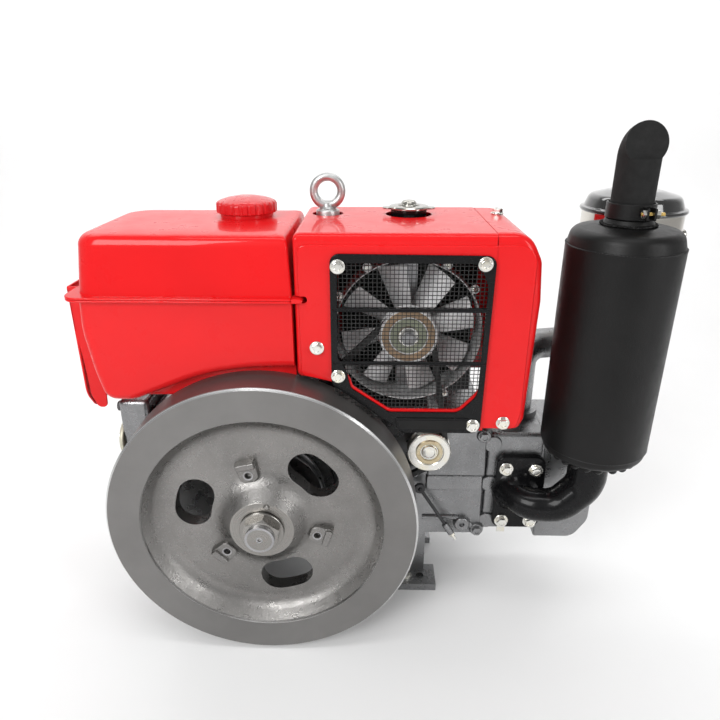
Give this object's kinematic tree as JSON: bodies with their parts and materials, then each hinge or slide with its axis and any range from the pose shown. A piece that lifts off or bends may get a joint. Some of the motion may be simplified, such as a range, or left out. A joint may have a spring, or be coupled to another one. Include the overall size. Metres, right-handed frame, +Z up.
{
  "type": "small diesel engine",
  "caption": "Horizontal single-cylinder water-cooled engine with open flywheel, fuel tank, radiator hood, belt-driven fan and upright silencer.",
  "frame": {"origin": "centre of the four base studs, on the underside of the feet", "axes": "+Z up, +X from the fuel tank to the cylinder head, -Y out of the flywheel along the crank line"},
  "size_m": [0.9115, 0.422, 0.7815],
  "materials": {
    "grey_casting": "grey painted casting, slightly rough",
    "liner_iron": "honed bore",
    "gasket": "matt fibre",
    "zinc_plate": "bright zinc plating",
    "flywheel_iron": "machined rim, silver-painted rough web",
    "machined_steel": "turned",
    "gear_steel": "ground and oiled",
    "piston_alloy": "turned",
    "tan_plate": "yellow zinc plating",
    "fan_alloy": "bare",
    "belt_rubber": "matt",
    "dark_steel": "satin",
    "red_paint": "glossy",
    "red_cap": "glossy",
    "black_paint": "semi-gloss",
    "mesh_wire": "satin",
    "radiator_paint": "satin",
    "chrome_cap": "polished",
    "galvanized": "galvanized",
    "muffler_paint": "heat-resistant satin black",
    "bright_steel": "polished sheet",
    "black_lid": "glossy"
  },
  "bodies": {
    "root": {"crankcase": "grey_casting", "cylinder_liner": "liner_iron", "cylinder_head": "grey_casting", "head_gasket": "gasket", "rocker_cover": "grey_casting", "gear_case": "grey_casting", "main_bearing_cover": "grey_casting", "inspection_cover": "zinc_plate", "mounting_feet": "grey_casting", "foot_bolts": "zinc_plate", "piston": "piston_alloy", "piston_rings": "gear_steel", "piston_pin": "machined_steel", "connecting_rod": "gear_steel", "fan_bracket": "machined_steel", "fan_shroud": "fan_alloy", "fan_belt": "belt_rubber", "tension_rod": "dark_steel", "tank_lower": "red_paint", "tank_upper": "red_paint", "rear_panel": "red_paint", "hood": "red_paint", "end_cover": "red_paint", "grille_frame": "black_paint", "grille_mesh": "mesh_wire", "radiator": "radiator_paint", "lifting_eye": "galvanized", "exhaust_elbow": "black_paint", "muffler": "muffler_paint", "outlet_elbow": "muffler_paint", "outlet_clamp": "black_paint", "air_cleaner_bowl": "bright_steel", "air_cleaner_lid": "black_lid", "intake_elbow": "grey_casting", "injection_pump": "zinc_plate", "injector": "machined_steel", "injection_pipe": "machined_steel", "fuel_filter": "grey_casting", "drain_plug": "zinc_plate", "valves": "machined_steel", "rocker_arms": "gear_steel", "flange_bolts": "zinc_plate"},
    "crank": {"crankshaft": "machined_steel", "crank_gear": "gear_steel", "crank_pulley": "grey_casting", "flywheel": "flywheel_iron", "flywheel_nut": "machined_steel"},
    "big_end": {"big_end": "gear_steel"},
    "cam": {"camshaft": "gear_steel"},
    "upper_balancer": {"upper_balancer": "gear_steel"},
    "lower_balancer": {"lower_balancer": "gear_steel"},
    "fan": {"fan": "fan_alloy", "fan_pulley": "tan_plate"},
    "tension_arm": {"tension_arm": "grey_casting"},
    "idler": {"idler_pulley": "zinc_plate"},
    "fuel_cap": {"fuel_cap": "red_cap"},
    "radiator_cap": {"radiator_cap": "chrome_cap"},
    "speed_lever": {"speed_lever": "dark_steel"},
    "decompression_lever": {"decompression_lever": "dark_steel"},
    "dipstick": {"dipstick": "black_lid"}
  },
  "joints": [
    {"name": "crank_spin", "type": "hinge", "parent": "root", "child": "crank", "pos_m": [-0.045, 0, 0.23], "axis": [0, 1, 0], "continuous": true},
    {"name": "big_end_turn", "type": "hinge", "parent": "crank", "child": "big_end", "pos_m": [0.0125, 0, 0.23], "axis": [0, 1, 0], "continuous": true},
    {"name": "cam_spin", "type": "hinge", "parent": "root", "child": "cam", "pos_m": [0.10726, 0, 0.301], "axis": [0, 1, 0], "continuous": true},
    {"name": "upper_balancer_spin", "type": "hinge", "parent": "root", "child": "upper_balancer", "pos_m": [-0.06445, 0, 0.3403], "axis": [0, 1, 0], "continuous": true},
    {"name": "lower_balancer_spin", "type": "hinge", "parent": "root", "child": "lower_balancer", "pos_m": [-0.06445, 0, 0.1197], "axis": [0, 1, 0], "continuous": true},
    {"name": "fan_spin", "type": "hinge", "parent": "root", "child": "fan", "pos_m": [0.162, 0, 0.497], "axis": [0, 1, 0], "continuous": true},
    {"name": "tension_arm_swing", "type": "hinge", "parent": "root", "child": "tension_arm", "pos_m": [0.177, 0, 0.263], "axis": [0, -1, 0], "range_deg": [0, 8]},
    {"name": "idler_spin", "type": "hinge", "parent": "tension_arm", "child": "idler", "pos_m": [0.199, 0, 0.31], "axis": [0, 1, 0], "continuous": true},
    {"name": "fuel_cap_lift", "type": "slide", "parent": "root", "child": "fuel_cap", "axis": [0, 0, 1], "range_m": [0, 0.06]},
    {"name": "radiator_cap_turn", "type": "hinge", "parent": "root", "child": "radiator_cap", "pos_m": [0.163, -0.058, 0.655], "axis": [0, 0, 1], "range_deg": [0, 90]},
    {"name": "speed_lever_swing", "type": "hinge", "parent": "root", "child": "speed_lever", "pos_m": [0.16, 0.1, 0.15], "axis": [0, 1, 0], "range_deg": [-35, 35]},
    {"name": "decompression_swing", "type": "hinge", "parent": "root", "child": "decompression_lever", "pos_m": [0.4435, 0.005, 0.308], "axis": [0, 0, 1], "range_deg": [0, 90]},
    {"name": "dipstick_pull", "type": "slide", "parent": "root", "child": "dipstick", "axis": [0, 0, 1], "range_m": [0, 0.12]}
  ],
  "couplings": [
    {"joint": "big_end_turn", "follows": "crank_spin", "ratio": -1},
    {"joint": "cam_spin", "follows": "crank_spin", "ratio": -0.5},
    {"joint": "upper_balancer_spin", "follows": "crank_spin", "ratio": -1},
    {"joint": "lower_balancer_spin", "follows": "crank_spin", "ratio": -1},
    {"joint": "fan_spin", "follows": "crank_spin", "ratio": 2.2353},
    {"joint": "idler_spin", "follows": "crank_spin", "ratio": 2.9231}
  ]
}
